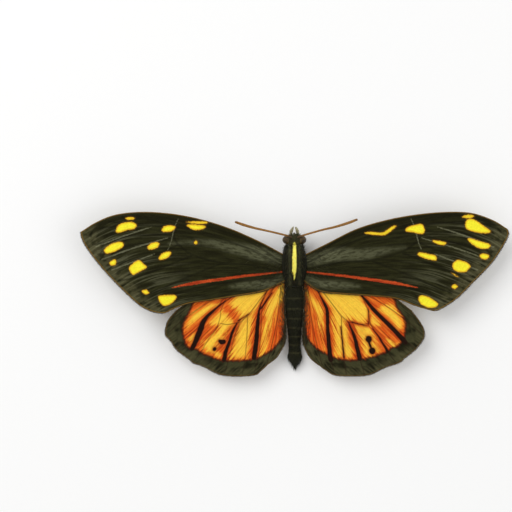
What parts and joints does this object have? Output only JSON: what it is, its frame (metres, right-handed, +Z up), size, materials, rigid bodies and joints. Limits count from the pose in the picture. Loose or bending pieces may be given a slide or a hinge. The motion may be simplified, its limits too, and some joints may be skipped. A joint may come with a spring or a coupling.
{
  "type": "spread butterfly specimen",
  "caption": "Dried butterfly with open wings: black forewings with yellow spots, orange and yellow hindwings with a black border. It stands on its feet and tail.",
  "frame": {"origin": "on the surface that the specimen stands on, under the middle of its outline", "axes": "+X towards the specimen's own right wing, +Y towards its head, +Z up"},
  "size_m": [0.0851, 0.0329, 0.0076],
  "materials": {
    "forewing_scales": "matte",
    "hindwing_scales": "matte",
    "body_hair": "matte",
    "eye_brown": "gloss",
    "antenna_ochre": "matte",
    "palp_cream": "matte",
    "leg_brown": "satin"
  },
  "bodies": {
    "root": {"head": "body_hair", "thorax": "body_hair", "abdomen": "body_hair", "tongue": "leg_brown", "left_eye": "eye_brown", "right_eye": "eye_brown", "left_antenna": "antenna_ochre", "right_antenna": "antenna_ochre", "left_palp": "palp_cream", "right_palp": "palp_cream", "left_forewing": "forewing_scales", "right_forewing": "forewing_scales", "left_hindwing": "hindwing_scales", "right_hindwing": "hindwing_scales", "left_foreleg": "leg_brown", "right_foreleg": "leg_brown", "left_middle_leg": "leg_brown", "right_middle_leg": "leg_brown", "left_hind_leg": "leg_brown", "right_hind_leg": "leg_brown"}
  },
  "joints": []
}
